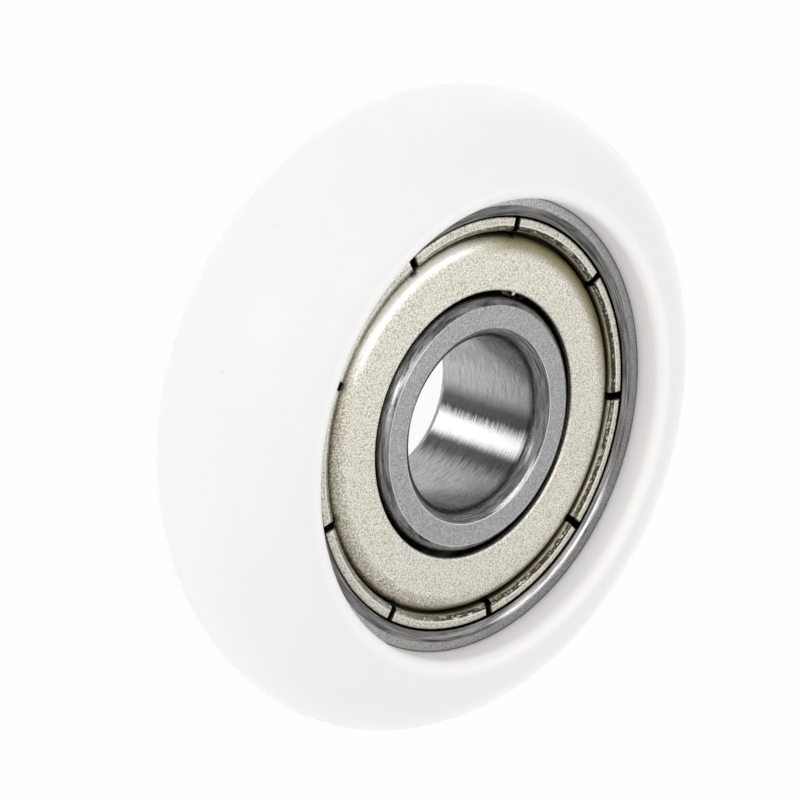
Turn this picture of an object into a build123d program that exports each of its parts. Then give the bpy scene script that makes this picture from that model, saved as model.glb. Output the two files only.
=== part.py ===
from build123d import *
import os
from math import radians, tan

# Guide pulley: a white full round plastic tyre moulded over a shielded ball bearing.
# The wheel's axis is +Z, and the origin is the middle of the tyre. The front, with
# the recess, is up. All sizes are in millimetres.

# Tyre
wheel_width = 8.5
tyre_thickness = 4.0  # from the bearing out to the top of the crown
lip_overlap = 0.44  # how far the plastic reaches in over the bearing's front face
lip_draft = 1.5  # degrees, opens the recess towards the front
lip_rounding = 0.45

# Ball bearing, overall
bore_diameter = 8.0
bearing_diameter = 22.0
bearing_width = 7.0
ball_count = 7
ball_diameter = 3.969
ball_clearance = 0.01  # between a ball and the bottom of each raceway
groove_conformity = 0.52  # radius of a raceway as a share of the ball's diameter

# Inner ring. Its corners are rounded before its faces are ground.
inner_shoulder_height = 0.495  # from the bottom of the raceway to the land
bore_rounding_share = 0.435  # of the ring's wall
inner_edge_rounding_share = 0.36  # of the ring's wall
ground_off = 0.06  # taken off each face

# Outer ring
outer_shoulder_height = 0.645
outer_edge_chamfer = 0.3
face_wall = 1.38  # from the outside to the wall of the shield's recess
bevel_width = 0.33  # around the front of the recess
bevel_height = 0.07
bevel_rounding = 0.04
recess_depth = 1.1  # from the ring's face to the ledge that the shield sits on
ledge_rounding = 0.08
snap_groove_depth = 0.16
snap_groove_top = 0.38  # below the ring's face
snap_groove_bottom = 0.95  # below the ring's face

# Shields
sheet = 0.27
shield_gap = 0.20  # between the inner ring's land and the shield's bore
shield_depth = 0.17  # from the ring's face down to the plate
shoulder_rounding = 0.45
rim_depth = 0.10  # from the ring's face down to the curled rim
rim_gap = 0.10  # between the rim and the wall of the recess
rim_width = 0.77  # from the foot of the shoulder to the outside of the rim
curl_width = 0.65  # from the inside of the curl to the outside of the rim
curl_rounding = 0.32  # where the curl turns down again
curl_gap = 0.10  # between the end of the curl and the floor of the rim
rim_bulge = 0.18  # how far the rim is swaged out into the snap groove
rim_corner = 0.14
bend_rounding = 0.06
edge_rounding = 0.03
punch_rollover = 0.11  # rounding of the plate's bore on the side the punch came from
slot_count = 9
slot_width = 0.36
slot_flare = 0.12  # rounding of the curl's ends at each slot
slot_reach = 0.04  # how far a slot nicks the foot of the shoulder
slot_angle = 12.3  # degrees, of the first slot of the front shield
cut_clearance = 0.01  # how far a cut starts above the surface it opens

# Cage
cage_sheet = 0.25
cage_inner_gap = 0.75  # from the inner ring's land
cage_outer_gap = 0.60  # from the outer ring's shoulder
pocket_clearance = 0.08
rivet_diameter = 0.6
rivet_head_diameter = 1.1
rivet_head_height = 0.22
rivet_head_rounding = 0.18
rivet_clearance = 0.01

# Sizes that follow
bearing_radius = bearing_diameter / 2
wheel_radius = bearing_radius + tyre_thickness
crown_radius = wheel_width / 2
crown_centre = wheel_radius - crown_radius
half_bearing = bearing_width / 2
bore_radius = bore_diameter / 2
ball_radius = ball_diameter / 2
pitch_radius = (bore_radius + bearing_radius) / 2
groove_radius = groove_conformity * ball_diameter
inner_groove_bottom = pitch_radius - ball_radius - ball_clearance
outer_groove_bottom = pitch_radius + ball_radius + ball_clearance
inner_land_radius = inner_groove_bottom + inner_shoulder_height
outer_land_radius = outer_groove_bottom - outer_shoulder_height
inner_wall = inner_land_radius - bore_radius
bore_rounding = bore_rounding_share * inner_wall
inner_edge_rounding = inner_edge_rounding_share * inner_wall
recess_radius = bearing_radius - face_wall
shield_bore_radius = inner_land_radius + shield_gap
rim_radius = recess_radius - rim_gap
shoulder_radius = rim_radius - rim_width
pocket_radius = ball_radius + pocket_clearance
cage_inner_radius = inner_land_radius + cage_inner_gap
cage_outer_radius = outer_land_radius - cage_outer_gap

# The bearing's rear face is flush with the tyre's rear
rear_z = -wheel_width / 2
bearing_mid_z = rear_z + half_bearing
bearing_front_z = rear_z + bearing_width

bearing_mid = Plane.XY.offset(bearing_mid_z)
section_plane = Plane(origin=(0, 0, bearing_mid_z), x_dir=(1, 0, 0), z_dir=(0, -1, 0))

os.makedirs("parts", exist_ok=True)


def save(builder, name):
    """Label a finished piece and write its file."""
    builder.part.label = name
    export_step(builder.part, f"parts/{name}.step")


def split_corners(corners):
    """Part a list of corners and their roundings into two lists."""
    return [point for point, rounding in corners], [rounding for point, rounding in corners]


# Tyre: a full round section, cut away where the bearing and its recess are.
# The plastic fills the outer ring's corners, which lock it on.
with BuildPart() as tyre:
    with BuildSketch(Plane.XZ) as tyre_section:
        with Locations((crown_centre, 0)):
            Circle(crown_radius)
        lip_foot = bearing_radius - lip_overlap
        lip_height = wheel_width / 2 - bearing_front_z
        with BuildLine():
            Polyline(
                (0, wheel_width),
                (0, -wheel_width),
                (lip_foot, -wheel_width),
                (lip_foot, bearing_front_z),
                (lip_foot + lip_height * tan(radians(lip_draft)), wheel_width / 2),
                (lip_foot + lip_height * tan(radians(lip_draft)), wheel_width),
                close=True,
            )
        make_face(mode=Mode.SUBTRACT)
        with BuildLine():
            Polyline(
                (0, rear_z),
                (bearing_radius - outer_edge_chamfer, rear_z),
                (bearing_radius, rear_z + outer_edge_chamfer),
                (bearing_radius, bearing_front_z - outer_edge_chamfer),
                (bearing_radius - outer_edge_chamfer, bearing_front_z),
                (0, bearing_front_z),
                close=True,
            )
        make_face(mode=Mode.SUBTRACT)
        fillet(tyre_section.vertices().sort_by(Axis.Y)[-1], lip_rounding)
    revolve(axis=Axis.Z)
save(tyre, "tyre")

# Inner ring: rounded bore, two lands and the raceway between them
with BuildPart() as inner_ring:
    with BuildSketch(section_plane) as inner_section:
        with Locations(((bore_radius + inner_land_radius) / 2, 0)):
            Rectangle(inner_land_radius - bore_radius, bearing_width + 2 * ground_off)
        fillet(inner_section.vertices().group_by(Axis.X)[0], bore_rounding)
        fillet(inner_section.vertices().group_by(Axis.X)[-1], inner_edge_rounding)
        Rectangle(bearing_diameter, bearing_width, mode=Mode.INTERSECT)
        with Locations((inner_groove_bottom + groove_radius, 0)):
            Circle(groove_radius, mode=Mode.SUBTRACT)
    revolve(axis=Axis.Z)
save(inner_ring, "inner_ring")

# Outer ring: raceway, two shoulders, and a recess with a snap groove for each shield.
# The corners of its front half are listed with their roundings.
ledge = half_bearing - recess_depth
groove_bottom = half_bearing - snap_groove_bottom
groove_top = half_bearing - snap_groove_top
groove_middle = (groove_bottom + groove_top) / 2
outer_ring_corners = [
    ((outer_land_radius, 0), 0),
    ((outer_land_radius, ledge), ledge_rounding),
    ((recess_radius, ledge), 0),
    ((recess_radius, groove_bottom), 0),
    ((recess_radius + snap_groove_depth, groove_middle), bend_rounding),
    ((recess_radius, groove_top), 0),
    ((recess_radius, half_bearing - bevel_height), bevel_rounding),
    ((recess_radius + bevel_width, half_bearing), 0),
    ((bearing_radius - outer_edge_chamfer, half_bearing), 0),
    ((bearing_radius, half_bearing - outer_edge_chamfer), 0),
    ((bearing_radius, 0), 0),
]
with BuildPart() as outer_ring:
    with BuildSketch(section_plane):
        with BuildLine():
            points, roundings = split_corners(outer_ring_corners)
            FilletPolyline(points, radius=roundings, close=True)
        make_face()
        mirror(about=Plane.XZ)
        with Locations((outer_groove_bottom - groove_radius, 0)):
            Circle(groove_radius, mode=Mode.SUBTRACT)
    revolve(axis=Axis.Z)
save(outer_ring, "outer_ring")


# Front shield: one sheet, pressed and curled. The plate ends in a rounded shoulder
# that drops to the ledge of the outer ring. There the sheet runs outwards, rises along
# the wall of the recess, swaged out into its groove, and curls over inwards and down.
# Nine slots let the rim curl.
plate_top = half_bearing - shield_depth
rim_top = half_bearing - rim_depth
rim_inside = rim_radius - sheet
curl_radius = rim_radius - curl_width
curl_bottom = ledge + sheet + curl_gap
shield_corners = [
    ((shield_bore_radius, plate_top), punch_rollover),
    ((shoulder_radius, plate_top), shoulder_rounding),
    ((shoulder_radius, ledge + sheet), bend_rounding),
    ((rim_inside, ledge + sheet), bend_rounding),
    ((rim_inside + rim_bulge, groove_middle), rim_corner),
    ((rim_inside, rim_top - sheet), bend_rounding / 2),
    ((curl_radius + sheet, rim_top - sheet), bend_rounding / 2),
    ((curl_radius + sheet, curl_bottom), edge_rounding),
    ((curl_radius, curl_bottom), edge_rounding),
    ((curl_radius, rim_top), curl_rounding),
    ((rim_radius, rim_top), rim_corner),
    ((rim_radius + rim_bulge, groove_middle), rim_corner),
    ((rim_radius - rim_gap, ledge), rim_corner),
    ((shoulder_radius - sheet, ledge), bend_rounding + sheet),
    ((shoulder_radius - sheet, plate_top - sheet), shoulder_rounding - sheet),
    ((shield_bore_radius, plate_top - sheet), edge_rounding),
]
with BuildPart() as front_shield:
    with BuildSketch(section_plane):
        with BuildLine():
            points, roundings = split_corners(shield_corners)
            FilletPolyline(points, radius=roundings, close=True)
        make_face()
    revolve(axis=Axis.Z)
    with BuildPart(mode=Mode.PRIVATE) as slot:
        slot_bottom = bearing_mid_z + ledge / 2
        slot_top = bearing_mid_z + rim_top + cut_clearance
        slot_mouth = slot_width / 2 + slot_flare
        slot_start = shoulder_radius - slot_reach
        with BuildSketch(Plane.YZ.offset(slot_start)):
            with BuildLine():
                Line((-slot_width / 2, slot_top - slot_flare), (-slot_width / 2, slot_bottom))
                Line((-slot_width / 2, slot_bottom), (slot_width / 2, slot_bottom))
                Line((slot_width / 2, slot_bottom), (slot_width / 2, slot_top - slot_flare))
                RadiusArc((slot_width / 2, slot_top - slot_flare), (slot_mouth, slot_top), slot_flare)
                Line((slot_mouth, slot_top), (slot_mouth, slot_top + sheet))
                Line((slot_mouth, slot_top + sheet), (-slot_mouth, slot_top + sheet))
                Line((-slot_mouth, slot_top + sheet), (-slot_mouth, slot_top))
                RadiusArc((-slot_mouth, slot_top), (-slot_width / 2, slot_top - slot_flare), slot_flare)
            make_face()
        extrude(amount=bearing_radius - slot_start)
    with PolarLocations(0, slot_count, start_angle=slot_angle):
        add(slot.part, mode=Mode.SUBTRACT)
save(front_shield, "front_shield")

# Rear shield: the same pressing, turned over
with BuildPart() as rear_shield:
    mirror(front_shield.part, about=bearing_mid)
save(rear_shield, "rear_shield")

# Balls
for number in range(ball_count):
    with BuildPart(bearing_mid) as ball:
        with PolarLocations(pitch_radius, 1, start_angle=number * 360 / ball_count):
            Sphere(ball_radius)
    save(ball, f"ball_{number + 1}")

# Front half of the cage: a flat ribbon, dished around each ball and pierced for the rivets
with BuildPart(bearing_mid) as cage_front:
    with BuildSketch(bearing_mid):
        Circle(cage_outer_radius)
        Circle(cage_inner_radius, mode=Mode.SUBTRACT)
    extrude(amount=cage_sheet)
    with PolarLocations(pitch_radius, ball_count):
        Sphere(pocket_radius + cage_sheet)
    with BuildSketch(bearing_mid):
        Circle(cage_outer_radius)
        Circle(cage_inner_radius, mode=Mode.SUBTRACT)
    extrude(amount=half_bearing, mode=Mode.INTERSECT)
    with PolarLocations(pitch_radius, ball_count):
        Sphere(pocket_radius, mode=Mode.SUBTRACT)
    with BuildSketch(bearing_mid):
        with PolarLocations(pitch_radius, ball_count, start_angle=180 / ball_count):
            Circle(rivet_diameter / 2 + rivet_clearance)
    extrude(amount=cage_sheet, mode=Mode.SUBTRACT)
save(cage_front, "cage_front")

# Rear half of the cage: the same stamping, turned over
with BuildPart() as cage_rear:
    mirror(cage_front.part, about=bearing_mid)
save(cage_rear, "cage_rear")

# Rivets, each with a rounded head on both sides of the cage
for number in range(ball_count):
    angle = (number + 0.5) * 360 / ball_count
    centre = Vector(pitch_radius, 0, bearing_mid_z).rotate(Axis.Z, angle)
    with BuildPart(Plane(origin=centre)) as rivet:
        Cylinder(rivet_diameter / 2, 2 * cage_sheet)
        with Locations((0, 0, cage_sheet + rivet_head_height / 2), (0, 0, -cage_sheet - rivet_head_height / 2)):
            Cylinder(rivet_head_diameter / 2, rivet_head_height)
        outer_edges = rivet.edges().filter_by(GeomType.CIRCLE).group_by(Axis.Z)
        fillet(outer_edges[0] + outer_edges[-1], rivet_head_rounding)
    save(rivet, f"cage_rivet_{number + 1}")
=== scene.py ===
import math

import bpy
from mathutils import Matrix, Vector


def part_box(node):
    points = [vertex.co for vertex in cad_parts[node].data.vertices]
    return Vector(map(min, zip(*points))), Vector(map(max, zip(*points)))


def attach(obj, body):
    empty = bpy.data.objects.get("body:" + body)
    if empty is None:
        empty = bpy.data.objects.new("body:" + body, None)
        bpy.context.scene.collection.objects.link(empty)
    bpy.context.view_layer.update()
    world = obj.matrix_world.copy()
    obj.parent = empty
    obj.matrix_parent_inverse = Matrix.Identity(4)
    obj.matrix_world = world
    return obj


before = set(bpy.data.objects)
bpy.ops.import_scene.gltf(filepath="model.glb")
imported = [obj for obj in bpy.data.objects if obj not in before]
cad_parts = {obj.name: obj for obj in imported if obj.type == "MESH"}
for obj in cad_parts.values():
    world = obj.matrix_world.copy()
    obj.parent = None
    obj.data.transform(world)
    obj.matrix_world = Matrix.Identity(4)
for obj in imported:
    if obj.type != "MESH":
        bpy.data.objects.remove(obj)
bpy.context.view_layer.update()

MM = 0.001

# Places worked out from the frame, in metres
tyre_low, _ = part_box("tyre")
inner_low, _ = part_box("inner_ring")
ring_low, ring_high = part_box("outer_ring")
_, shield_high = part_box("front_shield")
bearing_middle_z = (ring_low.z + ring_high.z) / 2
plate_top = shield_high.z - bearing_middle_z
rim_top = plate_top - 0.10 * MM
floor_gap = 0.02 * MM
floor_z = min(tyre_low.z, inner_low.z) - floor_gap
floor_half_width = 3.0

# Where the shield's slots stand
first_slot_degrees = 12.3
slot_pitch_degrees = 40.0

# Camera: its line of sight makes this angle with the wheel's axis, and is rolled
view_angle = math.radians(46.494)
view_roll = math.radians(19.359)
view_distance = 115.17 * MM
view_offset_right = 1.199 * MM
view_offset_down = 0.362 * MM
lens_mm = 113.17
sensor_mm = 36.0

# Brightness of the light tent, and of its reflection in steel
tent_side = 1.19
tent_top = 0.45
tent_lean = 0.12
mirrored_tent = 0.67
white = (1, 1, 1, 1)
floor_paint = (0.92, 0.92, 0.92, 1)

# Colours of the tyre
nylon_low = (0.87, 0.87, 0.862, 1)
nylon_high = (0.905, 0.905, 0.90, 1)
nylon_speck = (0.50, 0.49, 0.46, 1)
nylon_painted_light = (1.0, 0.965, 0.957, 1)

# Colours of the rings
ground_low = (0.35, 0.35, 0.35, 1)
ground_high = (0.75, 0.75, 0.75, 1)
ground_scratch = (0.16, 0.16, 0.16, 1)
ground_far_shade = (0.055, 0.050, 0.048, 1)
turned_low = (0.06, 0.06, 0.06, 1)
turned_high = (0.38, 0.375, 0.37, 1)
painted_glint_grey = (0.90, 0.90, 0.90, 1)
arris_highlight_grey = (0.95, 0.95, 0.95, 1)
seam_grey = (0.07, 0.07, 0.07, 1)
recess_shade_black = (0.035, 0.033, 0.03, 1)
black = (0.0, 0.0, 0.0, 1)

# Painted reflections in the bore, in bands: the middle of each in degrees, and how bright it is
bore_reflection_bands = (
    (0, 0.30), (95, 0.36), (118, 0.30), (150, 0.27), (196, 0.32), (222, 0.36), (236, 0.34),
    (247, 0.09), (254, 0.085), (259.5, 0.75), (263, 1.0), (267, 1.0), (270.5, 0.75),
    (277, 0.08), (284, 0.09), (294, 0.37), (305, 0.40), (321, 0.31), (340, 0.29),
)

# Colours of the shields
plating_low = (1.0, 0.96, 0.87, 1)
plating_high = (1.0, 0.985, 0.92, 1)
plating_grain = (0.50, 0.47, 0.375, 1)
plating_rim = (0.20, 0.17, 0.09, 1)
plating_pit = (0.20, 0.18, 0.12, 1)
shoulder_highlight_white = (1.0, 0.99, 0.96, 1)
shoulder_olive_shade = (0.21, 0.172, 0.055, 1)
score_shade_brown = (0.055, 0.048, 0.030, 1)
curl_highlight = (1.0, 0.98, 0.93, 1)
curl_ochre_shade = (0.40, 0.35, 0.16, 1)
fold_shade_black = (0.025, 0.023, 0.018, 1)

# Colours inside the bearing
cage_low = (0.30, 0.30, 0.29, 1)
cage_high = (0.42, 0.42, 0.40, 1)
ball_low = (0.60, 0.60, 0.61, 1)
ball_high = (0.66, 0.66, 0.67, 1)
shade_near_shields = (0.045, 0.042, 0.036, 1)

# The punch's burr, in mm on the wheel: its angle, its top below the shield's, and its outline
burr_degrees = 5.5
burr_depth = 0.10
burr_thickness = 0.10
burr_root = 6.24
burr_slope = 0.35
burr_outline = ((6.24, -0.11), (6.24, 0.12), (6.12, 0.10), (6.04, 0.02), (6.10, -0.08))


class Graph:
    """Short calls for building the nodes of one material or world."""

    def __init__(self, owner, output):
        owner.use_nodes = True
        self.owner = owner
        self.tree = owner.node_tree
        self.tree.nodes.clear()
        self.output = self.node(output)

    def node(self, kind, **settings):
        made = self.tree.nodes.new(kind)
        for key, value in settings.items():
            setattr(made, key, value)
        return made

    def put(self, socket, value):
        """Link a socket to another, or set its value."""
        if isinstance(value, bpy.types.NodeSocket):
            self.tree.links.new(value, socket)
        else:
            socket.default_value = value

    def math(self, operation, *values, clamp=False):
        made = self.node("ShaderNodeMath", operation=operation, use_clamp=clamp)
        for socket, value in zip(made.inputs, values):
            self.put(socket, value)
        return made.outputs[0]

    def plus(self, first, second):
        return self.math("ADD", first, second)

    def times(self, *values):
        product = values[0]
        for value in values[1:]:
            product = self.math("MULTIPLY", product, value)
        return product

    def either(self, *values):
        most = values[0]
        for value in values[1:]:
            most = self.math("MAXIMUM", most, value)
        return most

    def invert(self, value):
        return self.math("SUBTRACT", 1.0, value)

    def vector(self, x, y, z):
        made = self.node("ShaderNodeCombineXYZ")
        for socket, value in zip(made.inputs, (x, y, z)):
            self.put(socket, value)
        return made.outputs[0]

    def split(self, vector):
        made = self.node("ShaderNodeSeparateXYZ")
        self.put(made.inputs[0], vector)
        return made.outputs

    def noise(self, vector, scale, detail=2.0, roughness=0.5):
        made = self.node("ShaderNodeTexNoise")
        self.put(made.inputs["Vector"], vector)
        made.inputs["Scale"].default_value = scale
        made.inputs["Detail"].default_value = detail
        made.inputs["Roughness"].default_value = roughness
        return made.outputs["Fac"]

    def remap(self, value, low, high, to_low=0.0, to_high=1.0, smooth=False):
        kind = "SMOOTHSTEP" if smooth else "LINEAR"
        made = self.node("ShaderNodeMapRange", interpolation_type=kind)
        for socket, number in zip(made.inputs, (value, low, high, to_low, to_high)):
            self.put(socket, number)
        return made.outputs[0]

    def band(self, value, low, high, soft):
        """1 between low and high, 0 outside, with soft edges."""
        rise = self.remap(value, low - soft, low + soft, smooth=True)
        fall = self.remap(value, high - soft, high + soft, 1.0, 0.0, smooth=True)
        return self.times(rise, fall)

    def mix(self, factor, first, second):
        made = self.node("ShaderNodeMix", data_type="RGBA")
        self.put(made.inputs[0], factor)
        self.put(made.inputs[6], first)
        self.put(made.inputs[7], second)
        return made.outputs[2]

    def mix_shader(self, factor, first, second):
        made = self.node("ShaderNodeMixShader")
        for socket, value in zip(made.inputs, (factor, first, second)):
            self.put(socket, value)
        return made.outputs[0]

    def bump(self, height, strength, distance, normal=None):
        made = self.node("ShaderNodeBump")
        self.put(made.inputs["Height"], height)
        made.inputs["Strength"].default_value = strength
        made.inputs["Distance"].default_value = distance
        if normal is not None:
            self.put(made.inputs["Normal"], normal)
        return made.outputs[0]

    def finish(self, **values):
        """Add the surface shader, with its sockets set by name."""
        surface = self.node("ShaderNodeBsdfPrincipled")
        for name, value in values.items():
            self.put(surface.inputs[name.replace("_", " ")], value)
        self.put(self.output.inputs["Surface"], surface.outputs[0])
        return self.owner


class WheelGraph(Graph):
    """A material's nodes, with the place of the shaded point on the wheel."""

    def __init__(self, name):
        super().__init__(bpy.data.materials.new(name), "ShaderNodeOutputMaterial")
        coordinates = self.node("ShaderNodeTexCoord")
        self.point = coordinates.outputs["Object"]
        x, y, self.z = self.split(self.point)
        self.radius = self.math("SQRT", self.plus(self.times(x, x), self.times(y, y)))
        self.cosine = self.math("DIVIDE", x, self.radius)
        self.sine = self.math("DIVIDE", y, self.radius)
        turned = self.times(self.math("ARCTAN2", y, x), 180 / math.pi)
        self.degrees = self.math("WRAP", turned, 360.0, 0.0)
        # Height from the bearing's middle, the same on the front and on the rear
        self.height = self.math("ABSOLUTE", self.math("SUBTRACT", self.z, bearing_middle_z))
        self.on_front = self.remap(self.z, 0.0, 1.0 * MM)
        nx, ny, nz = self.split(coordinates.outputs["Normal"])
        around = self.math("SUBTRACT", self.times(self.cosine, ny), self.times(self.sine, nx))
        self.slot_wall = self.remap(self.math("ABSOLUTE", around), 0.45, 0.80, smooth=True)
        self.facing = self.math("ABSOLUTE", nz)

    def by_radius(self, start, end, smooth=False):
        """0 at the first radius and 1 at the second, in mm."""
        return self.remap(self.radius, start * MM, end * MM, smooth=smooth)

    def by_height(self, start, end):
        """0 at the first height from the bearing's middle and 1 at the second, in mm."""
        return self.remap(self.height, start * MM, end * MM)

    def ring(self, low, high, soft):
        """1 between two radii in mm, with soft edges."""
        return self.band(self.radius, low * MM, high * MM, soft * MM)

    def sector(self, low, high, soft):
        """1 between two angles in degrees, with soft edges."""
        return self.band(self.degrees, low, high, soft)

    def marks(self, around, along):
        """A vector for marks that run round the axis: coarse round it, fine across it."""
        across = self.plus(self.radius, self.times(self.z, 2.3))
        return self.vector(
            self.times(self.cosine, around),
            self.times(self.sine, around),
            self.times(across, along),
        )


def tyre_plastic():
    """White moulded nylon: satin, a little translucent, with faint flow marks and specks."""
    g = WheelGraph("tyre_plastic")
    cloud = g.noise(g.point, 160.0, 3.0)
    colour = g.mix(cloud, nylon_low, nylon_high)
    speck = g.remap(g.noise(g.point, 1100.0, 1.0), 0.80, 0.82, smooth=True)
    colour = g.mix(g.times(speck, 0.12), colour, nylon_speck)
    # The recess's wall is thin there: painted light, lighter and warmer, stands in for the light
    # it passes
    wall = g.times(g.ring(10.4, 11.2, 0.25), g.remap(g.z, 2.2 * MM, 2.7 * MM))
    colour = g.mix(wall, colour, nylon_painted_light)
    orange_peel = g.noise(g.point, 1500.0, 3.0)
    flow = g.noise(g.marks(2.0, 3600.0), 1.0, 2.0)
    relief = g.plus(g.times(orange_peel, 0.6), g.times(flow, 0.8))
    return g.finish(
        Base_Color=colour,
        Roughness=g.remap(cloud, 0.3, 0.7, 0.38, 0.46),
        IOR=1.52,
        Subsurface_Weight=0.55,
        Subsurface_Radius=(1.0, 0.85, 0.78),
        Subsurface_Scale=1.8 * MM,
        Normal=g.bump(relief, 0.15, 0.02 * MM),
    )


def ground_face(g, grain, outer):
    """Ground steel with a few scratches, and painted shade on the far side of the outer ring."""
    colour = g.mix(g.remap(grain, 0.35, 0.65), ground_low, ground_high)
    scratches = g.remap(g.noise(g.marks(60.0, 2500.0), 1.0, 2.0, 0.7), 0.62, 0.70)
    colour = g.mix(g.times(scratches, 0.35), colour, ground_scratch)
    # Painted shade: the outer ring's face is darker on its far side
    far_side = g.plus(g.times(g.cosine, -0.26), g.times(g.sine, -0.97))
    far_shade = g.remap(g.times(far_side, outer), -0.6, 1.0, 0.0, 0.46)
    return g.mix(far_shade, colour, ground_far_shade)


def turned_corners(g, grain, streaks):
    """Turned steel: dark and streaked, with painted glints, broken up, where an edge would catch
    the light.
    """
    colour = g.mix(g.remap(streaks, 0.36, 0.66), turned_low, turned_high)
    # Painted highlights on the outer ring's edge, the bore's mouth and the inner ring's edge, on
    # the front only
    outer_edge = g.times(g.sector(216.0, 266.0, 6.0), g.ring(9.84, 10.08, 0.05))
    bore_mouth = g.times(g.sector(222.0, 258.0, 9.0), g.ring(4.38, 4.50, 0.04))
    inner_edge = g.times(g.sector(70.0, 106.0, 14.0), g.ring(5.64, 5.80, 0.05))
    glint = g.times(g.either(outer_edge, bore_mouth, inner_edge), g.on_front)
    broken = g.times(g.remap(streaks, 0.34, 0.54), g.remap(grain, 0.34, 0.50, 0.45, 1.0))
    return g.mix(g.times(glint, broken, 0.8), colour, painted_glint_grey)


def ring_edges(g, colour, streaks, flat):
    """A dark seam against the plastic, and painted highlights on the arrises beside the inner
    ring's face.
    """
    seam = g.times(g.ring(10.50, 10.9, 0.03), flat)
    colour = g.mix(g.times(seam, 0.75), colour, seam_grey)
    # Painted highlights: thin bright lines on the arrises, on the sides where they would catch
    # the light
    inner_arris = g.times(g.ring(4.53, 4.58, 0.012), g.sector(120.0, 345.0, 20.0))
    outer_arris = g.times(g.ring(5.545, 5.585, 0.012), g.sector(60.0, 250.0, 20.0))
    arris_highlight = g.times(g.either(inner_arris, outer_arris), g.by_height(3.40, 3.48))
    streaked = g.times(arris_highlight, g.remap(streaks, 0.3, 0.7, 0.3, 0.8))
    return g.mix(streaked, colour, arris_highlight_grey)


def ring_painted_shade(g, colour):
    """Painted shade in the recess and between the rings."""
    recess = g.times(g.ring(8.6, 9.9, 0.03), g.by_height(3.42, 3.30))
    gap = g.times(g.ring(5.9, 8.9, 0.02), g.by_height(3.0, 2.75))
    return g.mix(g.either(recess, gap), colour, recess_shade_black)


def bore_painted_reflections(g, lines):
    """Painted reflections in bands along the axis, with brushing round it."""
    ramp = g.node("ShaderNodeValToRGB")
    stops = ramp.color_ramp.elements
    while len(stops) < len(bore_reflection_bands):
        stops.new(0.5)
    for stop, (degrees, shade) in zip(stops, bore_reflection_bands):
        stop.position = degrees / 360
        stop.color = (shade, shade, shade, 1)
    ragged = g.plus(g.degrees, g.remap(lines, 0.3, 0.7, -2.2, 2.2))
    g.put(ramp.inputs[0], g.remap(ragged, 0.0, 360.0))
    # polished is the painted reflection's brightness round the bore
    polished = ramp.outputs[0]
    dimmed_reflection = g.mix(0.5, polished, black)
    brushing = g.times(g.remap(lines, 0.46, 0.64), g.remap(polished, 0.6, 0.5), 0.8)
    return g.mix(brushing, polished, dimmed_reflection)


def ring_relief(g, lines, grain, streaks, flat, outer):
    """Brushing, grain and rough turning, and the outer ring's soft roll towards its shield."""
    brushed = g.plus(g.times(lines, 0.5), g.times(grain, 0.5))
    rough_turning = g.times(g.plus(streaks, grain), g.invert(flat), 1.8)
    fine = g.bump(g.plus(brushed, rough_turning), 0.45, 0.006 * MM)
    roll = g.by_radius(10.16, 9.50)
    return g.bump(g.times(roll, roll, outer, -1.0), 1.0, 0.12 * MM, fine)


def ring_steel():
    """Bearing steel: ground faces, turned and darker corners, a brushed bore, and painted glints,
    highlights, shade and reflections.
    """
    g = WheelGraph("ring_steel")
    lines = g.noise(g.marks(5.0, 6500.0), 1.0, 3.0, 0.65)
    streaks = g.noise(g.marks(4.5, 9000.0), 1.0, 4.0, 0.7)
    grain = g.noise(g.point, 13000.0, 3.0, 0.6)
    cloud = g.noise(g.point, 1500.0, 3.0, 0.6)
    outer = g.by_radius(9.0, 9.1)
    rolled = g.times(outer, g.by_radius(10.14, 10.06, smooth=True))
    flat = g.times(g.by_height(3.485, 3.495), g.invert(rolled))
    bore = g.by_radius(4.03, 4.015)

    colour = g.mix(flat, turned_corners(g, grain, streaks), ground_face(g, grain, outer))
    colour = ring_edges(g, colour, streaks, flat)
    colour = ring_painted_shade(g, colour)
    colour = g.mix(bore, colour, bore_painted_reflections(g, lines))
    tangent = g.node("ShaderNodeTangent", direction_type="RADIAL", axis="Z")
    return g.finish(
        Base_Color=colour,
        Metallic=1.0,
        Roughness=g.plus(g.remap(cloud, 0.3, 0.7, 0.24, 0.31), g.times(flat, 0.08)),
        Anisotropic=g.times(bore, 0.85),
        Anisotropic_Rotation=0.25,
        Tangent=tangent.outputs[0],
        Normal=ring_relief(g, lines, grain, streaks, flat, outer),
    )


def plating_colour(g, grain, coarse, cloud, on_rim):
    """Warm plating with a fine grain and small pits, browner on the curled rim."""
    pale = g.mix(cloud, plating_low, plating_high)
    colour = g.mix(g.remap(grain, 0.58, 0.38), pale, plating_grain)
    colour = g.mix(g.times(on_rim, 0.20), colour, plating_rim)
    pits = g.remap(coarse, 0.585, 0.66, smooth=True)
    pits = g.times(pits, g.remap(on_rim, 0.0, 1.0, 0.60, 0.95))
    return g.mix(pits, colour, plating_pit)


def shoulder_shade(g, colour, grain, coarse, on_rim, lit):
    """Painted olive shade where the shoulder drops to the rim away from the light, and painted
    mottled shade on one side.
    """
    drop = g.by_radius(8.30, 8.66)
    wide_drop = g.by_radius(7.75, 8.32, smooth=True)
    narrow = g.sector(32.0, 306.0, 22.0)
    drop_shade = g.either(drop, g.times(wide_drop, g.invert(narrow), 0.88))
    # Painted shade: olive where the shoulder drops, away from the light
    away_shade = g.times(g.invert(lit), drop_shade)
    # Painted shade, mottled by the grain, on one side of the drop
    mottled = g.times(g.sector(92.0, 196.0, 12.0), g.on_front)
    speckle = g.remap(g.plus(coarse, grain), 1.14, 0.88)
    mottled_shade = g.times(mottled, speckle, g.remap(wide_drop, 0.25, 0.9), 0.68)
    shade = g.either(away_shade, mottled_shade)
    shade = g.times(shade, g.invert(on_rim), g.by_radius(7.6, 7.9))
    return g.mix(g.times(shade, 0.93), colour, shoulder_olive_shade)


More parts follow.
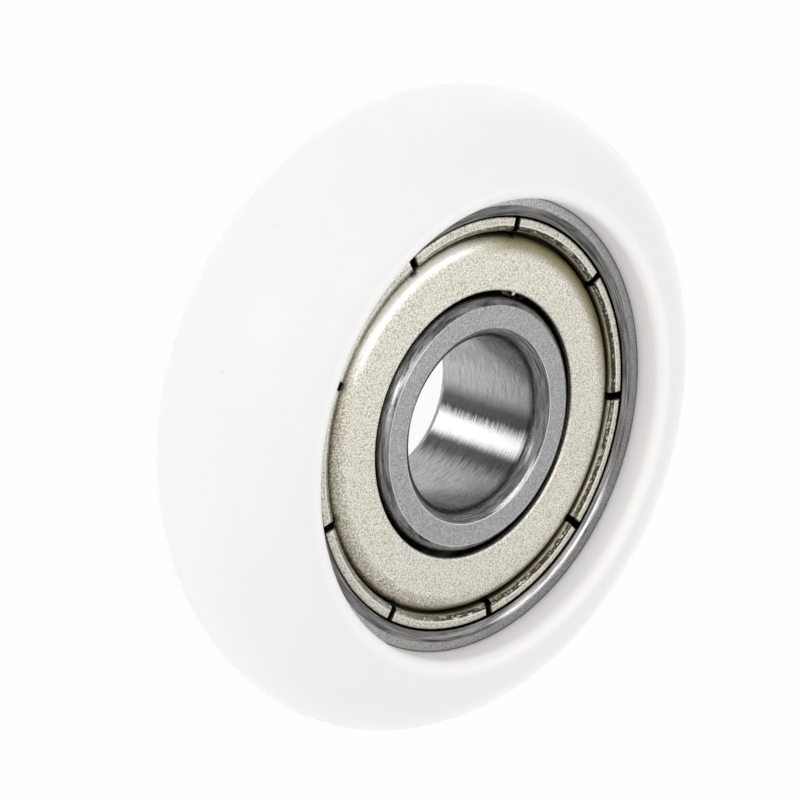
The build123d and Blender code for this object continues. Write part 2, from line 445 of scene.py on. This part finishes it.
def curl_marks(g, colour, coarse, streaks, lit):
    """The curl, stretched and scored where it turns down, with painted shade, a painted highlight
    on its crest and painted ochre shade low on its inner side.
    """
    inner_turn = g.ring(8.93, 9.14, 0.03)
    scoring = g.remap(g.plus(streaks, g.times(coarse, 0.5)), 0.61, 0.74, smooth=True)
    # Scoring marks, with painted shade: darker away from the light
    scored = g.times(inner_turn, scoring, g.remap(lit, 0.0, 1.0, 1.0, 0.55))
    colour = g.mix(scored, colour, score_shade_brown)
    # Painted highlight along the curl's crest
    bright = g.ring(9.16, 9.22, 0.02)
    colour = g.mix(g.times(bright, 0.5), colour, curl_highlight)
    # Painted ochre shade low on the curl's inner side
    lower = g.times(g.ring(8.80, 8.92, 0.03), g.by_height(3.2, 3.0))
    return g.mix(g.times(lower, 0.8), colour, curl_ochre_shade)


def slot_foot_shade(g, lit):
    """Painted shade at the foot of each slot, where it meets the shoulder, lighter on the lit
    side.
    """
    half_pitch = slot_pitch_degrees / 2
    turned = g.math("SUBTRACT", g.degrees, first_slot_degrees)
    from_slot = g.math("WRAP", turned, half_pitch, -half_pitch)
    aside = g.times(g.math("ABSOLUTE", from_slot), g.radius, math.pi / 180)
    foot = g.times(g.ring(8.56, 8.80, 0.04), g.on_front)
    return g.times(g.remap(aside, 0.17 * MM, 0.09 * MM), foot, g.remap(lit, 0.0, 1.0, 0.85, 0.25))


def painted_shade_places(g, lit):
    """Painted shade in the fold between shoulder and curl, at the slots, outside the curl and
    inside.
    """
    fold = g.times(g.ring(8.70, 9.8, 0.02), g.by_height(3.02, 2.86))
    outside = g.times(g.by_radius(9.49, 9.525), g.remap(g.facing, 0.75, 0.45))
    inside = g.times(g.by_height(3.08, 3.06), g.by_radius(8.5, 8.4))
    below_rim = g.remap(g.height, rim_top - 0.03 * MM, rim_top - 0.12 * MM)
    slot_ends = g.times(g.slot_wall, below_rim)
    return g.either(fold, outside, inside, slot_ends, slot_foot_shade(g, lit))


def plating_relief(g, grain, coarse, streaks, on_rim):
    """Grain, rougher on the rim, and the shoulder's wide soft drop."""
    rough_rim = g.times(g.plus(streaks, coarse), on_rim, 0.7)
    fine = g.bump(g.plus(grain, rough_rim), 1.0, 0.016 * MM)
    sunk = g.by_radius(7.90, 8.72)
    return g.bump(g.times(sunk, sunk, -1.0), 1.0, 0.14 * MM, fine)


def shield_plating():
    """Satin plating on pressed sheet: warm and grainy, with painted olive shade in the folds,
    painted shade in the slots and a painted highlight on the shoulder.
    """
    g = WheelGraph("shield_plating")
    grain = g.noise(g.point, 13500.0, 3.0, 0.7)
    coarse = g.noise(g.point, 7500.0, 3.0, 0.65)
    cloud = g.noise(g.point, 900.0, 3.0, 0.6)
    streaks = g.noise(g.marks(14.0, 6500.0), 1.0, 5.0, 0.75)
    on_rim = g.by_radius(8.84, 8.92)
    lit = g.sector(24.0, 188.0, 12.0)
    # Painted highlight on the shoulder, on the side towards the light, on the front only
    shine = g.times(g.sector(30.0, 84.0, 9.0), g.ring(8.18, 8.74, 0.09), g.on_front)

    colour = plating_colour(g, grain, coarse, cloud, on_rim)
    colour = g.mix(g.times(shine, 0.85), colour, shoulder_highlight_white)
    colour = shoulder_shade(g, colour, grain, coarse, on_rim, lit)
    colour = curl_marks(g, colour, coarse, streaks, lit)
    # Painted shade in the fold, the slots and round the curl
    colour = g.mix(painted_shade_places(g, lit), colour, fold_shade_black)
    satin = g.remap(cloud, 0.3, 0.7, 0.34, 0.42)
    return g.finish(
        Base_Color=colour,
        Metallic=1.0,
        Roughness=g.math("SUBTRACT", satin, g.times(shine, 0.10)),
        Normal=plating_relief(g, grain, coarse, streaks, on_rim),
    )


def cage_steel():
    """Stamped sheet inside the bearing: matt, with a faint grain, and painted shade where it
    nears the shields.
    """
    g = WheelGraph("cage_steel")
    grain = g.noise(g.point, 4000.0, 3.0)
    colour = g.mix(grain, cage_low, cage_high)
    # Painted shade near the shields
    near_shield_mask = g.by_height(0.5, 1.2)
    colour = g.mix(near_shield_mask, colour, shade_near_shields)
    relief = g.bump(grain, 0.25, 0.005 * MM)
    return g.finish(Base_Color=colour, Metallic=1.0, Roughness=0.38, Normal=relief)


def ball_steel():
    """Lapped balls: polished steel with a faint haze, and painted shade where they near the
    shields, where they are also rougher.
    """
    g = WheelGraph("ball_steel")
    haze = g.noise(g.point, 2500.0, 2.0)
    colour = g.mix(haze, ball_low, ball_high)
    # Painted shade near the shields, with more roughness there
    near_shield_mask = g.by_height(0.7, 1.4)
    colour = g.mix(near_shield_mask, colour, shade_near_shields)
    roughness = g.plus(g.remap(haze, 0.3, 0.7, 0.10, 0.14), g.times(near_shield_mask, 0.3))
    return g.finish(Base_Color=colour, Metallic=1.0, Roughness=roughness)


def dress(names, material):
    for name in names:
        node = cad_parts[name]
        for place in node.material_slots:
            place.material = material


def burr_corners(z):
    """The burr's outline at one height, sloping down from its root."""
    sine = math.sin(math.radians(burr_degrees))
    cosine = math.cos(math.radians(burr_degrees))
    corners = []
    for radius, side in burr_outline:
        x = radius * cosine - side * sine
        y = radius * sine + side * cosine
        drop = (burr_root - radius) * burr_slope
        corners.append((x * MM, y * MM, z - drop * MM))
    return corners


def make_burr(material):
    """A small burr left by the punch on the bore of the front shield."""
    top = shield_high.z - burr_depth * MM
    points = burr_corners(top) + burr_corners(top - burr_thickness * MM)
    count = len(burr_outline)
    faces = [tuple(range(count)), tuple(reversed(range(count, 2 * count)))]
    for i in range(count):
        j = (i + 1) % count
        faces.append((i, i + count, j + count, j))
    mesh = bpy.data.meshes.new("shield_burr")
    mesh.from_pydata(points, [], faces)
    mesh.materials.append(material)
    burr = bpy.data.objects.new("shield_burr", mesh)
    bpy.context.scene.collection.objects.link(burr)
    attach(burr, "wheel")


def make_camera():
    """Stand the camera where the photograph was taken from."""
    sine = math.sin(view_angle)
    cosine = math.cos(view_angle)
    # The wheel's three axes as the camera sees them: right, down and forwards
    axis = Vector((sine * math.cos(view_roll), sine * math.sin(view_roll), -cosine))
    up = Vector((math.sin(view_roll), -math.cos(view_roll), 0.0))
    side = axis.cross(up)
    turn = Matrix((up, side, axis))
    place = turn @ -Vector((view_offset_right, view_offset_down, view_distance))
    place.z += bearing_middle_z
    right, down, forward = turn.col
    matrix = Matrix((right, -down, -forward)).transposed().to_4x4()
    matrix.translation = place
    camera = bpy.data.objects.new("camera", bpy.data.cameras.new("camera"))
    camera.data.lens = lens_mm
    camera.data.sensor_width = sensor_mm
    camera.data.clip_start = 0.005
    camera.data.clip_end = 20.0
    camera.matrix_world = matrix
    bpy.context.scene.collection.objects.link(camera)
    bpy.context.scene.camera = camera


def floor_material():
    """Pale paint with a glow of its own, which leaves only a soft shadow."""
    g = Graph(bpy.data.materials.new("floor"), "ShaderNodeOutputMaterial")
    rays = g.node("ShaderNodeLightPath")
    glossy = rays.outputs["Is Glossy Ray"]
    seen = g.math("ADD", rays.outputs["Is Camera Ray"], glossy, clamp=True)
    paint = g.node("ShaderNodeBsdfDiffuse")
    paint.inputs["Color"].default_value = floor_paint
    glow = g.node("ShaderNodeEmission")
    # The bore's wall mirrors the floor, where it is brighter
    g.put(glow.inputs["Strength"], g.plus(1.0, g.times(glossy, 0.45)))
    surface = g.mix_shader(g.times(seen, 0.95), paint.outputs[0], glow.outputs[0])
    g.put(g.output.inputs["Surface"], surface)
    return g.owner


def make_floor():
    """A plain floor just under the wheel."""
    half = floor_half_width
    corners = []
    for x, y in ((-half, -half), (half, -half), (half, half), (-half, half)):
        corners.append((x, y, floor_z))
    mesh = bpy.data.meshes.new("floor")
    mesh.from_pydata(corners, [], [(0, 1, 2, 3)])
    mesh.materials.append(floor_material())
    floor = bpy.data.objects.new("floor", mesh)
    bpy.context.scene.collection.objects.link(floor)


def make_world():
    """White to the eye, a light tent brighter at its sides, and darker where steel mirrors it."""
    world = bpy.data.worlds.new("studio")
    bpy.context.scene.world = world
    g = Graph(world, "ShaderNodeOutputWorld")
    rays = g.node("ShaderNodeLightPath")
    x, y, z = g.split(g.node("ShaderNodeTexCoord").outputs["Generated"])
    tent = g.math("SUBTRACT", g.remap(z, 0.0, 1.0, tent_side, tent_top), g.times(x, tent_lean))
    backgrounds = []
    for strength in (tent, mirrored_tent, 1.0):
        background = g.node("ShaderNodeBackground")
        background.inputs["Color"].default_value = white
        g.put(background.inputs["Strength"], strength)
        backgrounds.append(background.outputs[0])
    lighting, mirrored, seen = backgrounds
    surface = g.mix_shader(rays.outputs["Is Glossy Ray"], lighting, mirrored)
    surface = g.mix_shader(rays.outputs["Is Camera Ray"], surface, seen)
    g.put(g.output.inputs["Surface"], surface)


def add_softbox(name, direction, side, distance, width, height, radiance):
    """A soft lamp that looks at the wheel from a direction, its width along the side given."""
    lamp = bpy.data.lights.new(name, "AREA")
    lamp.shape = "RECTANGLE"
    lamp.size = width
    lamp.size_y = height
    lamp.energy = radiance * math.pi * width * height
    back = Vector(direction).normalized()
    along = Vector(side)
    across = (along - back * along.dot(back)).normalized()
    matrix = Matrix((across, back.cross(across), back)).transposed().to_4x4()
    matrix.translation = back * distance
    made = bpy.data.objects.new(name, lamp)
    made.matrix_world = matrix
    bpy.context.scene.collection.objects.link(made)


make_camera()
make_floor()
make_world()
add_softbox(
    "overhead",
    direction=(0.268, -0.213, 1.0),
    side=(1, 0, 0),
    distance=0.30,
    width=0.16,
    height=0.267,
    radiance=1.45,
)
add_softbox(
    "side_strip",
    direction=(0.135, 0.855, 0.50),
    side=(-0.99, 0.156, 0),
    distance=0.36,
    width=0.085,
    height=0.30,
    radiance=2.9,
)

plating = shield_plating()
dress(["tyre"], tyre_plastic())
dress(["inner_ring", "outer_ring"], ring_steel())
dress(["front_shield", "rear_shield"], plating)
dress([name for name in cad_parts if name.startswith("cage")], cage_steel())
dress([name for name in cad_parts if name.startswith("ball")], ball_steel())
make_burr(plating)

bpy.context.scene.view_settings.view_transform = "Standard"
